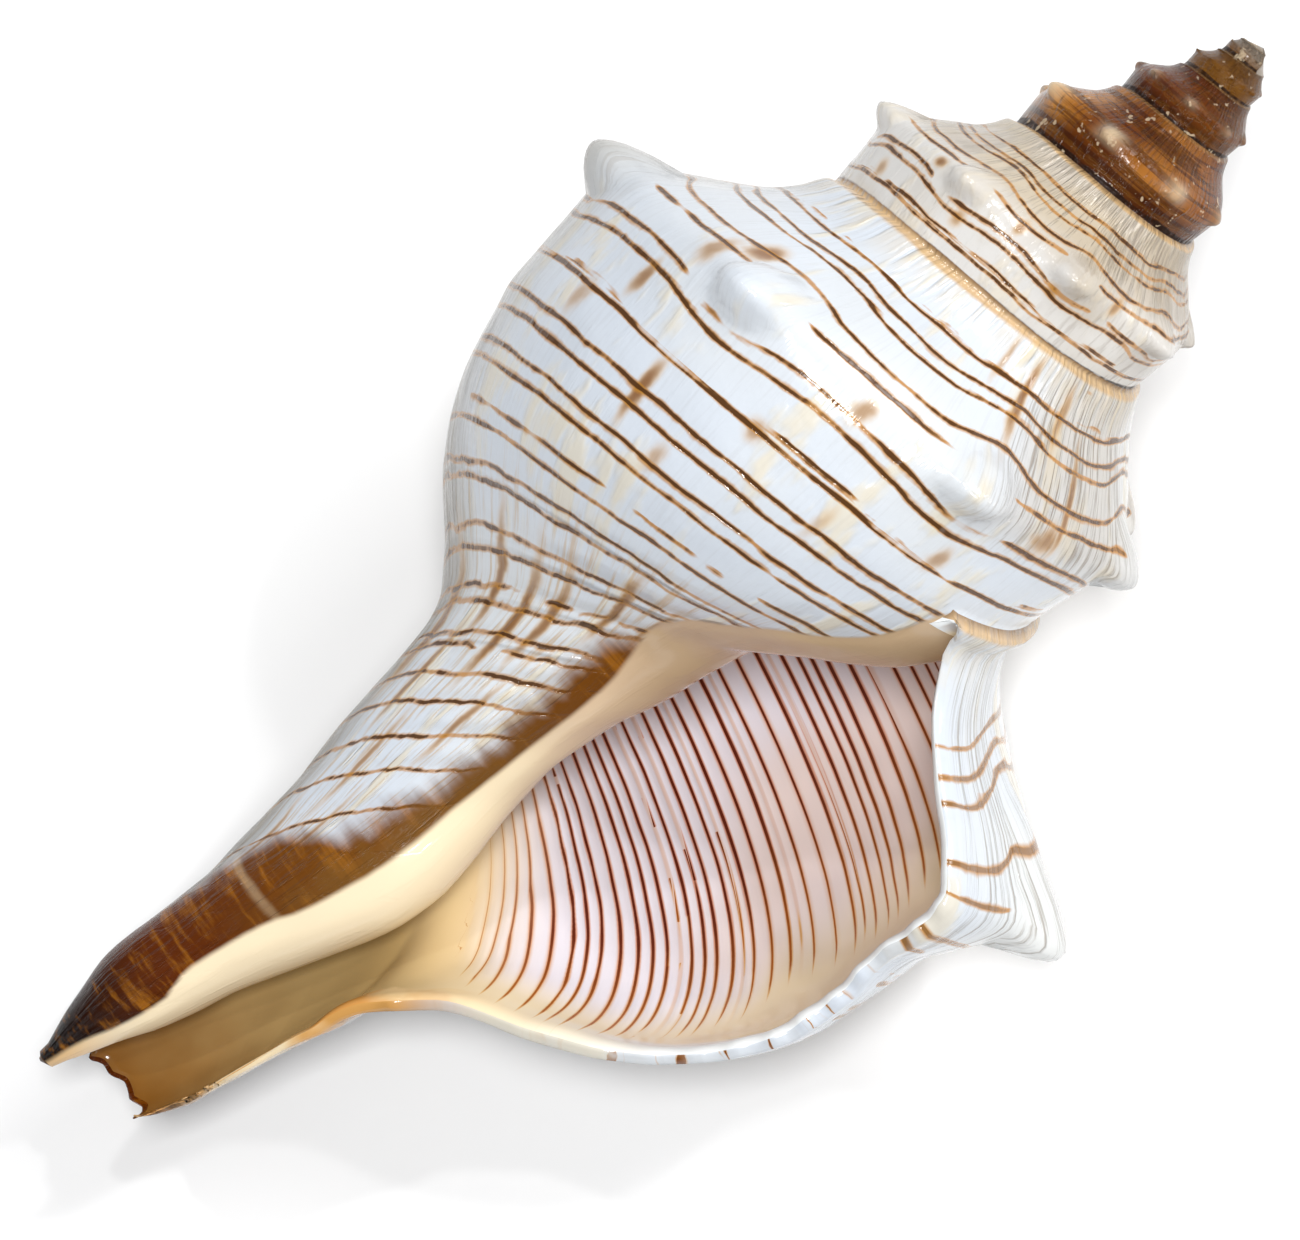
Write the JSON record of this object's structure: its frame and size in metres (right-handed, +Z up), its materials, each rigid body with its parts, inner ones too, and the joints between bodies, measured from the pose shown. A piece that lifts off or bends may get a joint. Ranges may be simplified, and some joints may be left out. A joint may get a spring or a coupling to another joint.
{
  "type": "conch shell",
  "caption": "Polished spindle-shaped conch shell lying on its back, with a knobbed spire, a wide ribbed-looking aperture facing up and an open canal.",
  "frame": {"origin": "centre of the bounding box in plan, on the surface that the shell lies on", "axes": "+X towards the apex along the shell's length, -Y towards the outer lip, +Z up; the aperture faces up"},
  "size_m": [0.1484, 0.0862, 0.076],
  "materials": {
    "shell": "polished natural shell, glossy white with thin brown lines"
  },
  "bodies": {
    "root": {"shell": "shell"}
  },
  "joints": []
}
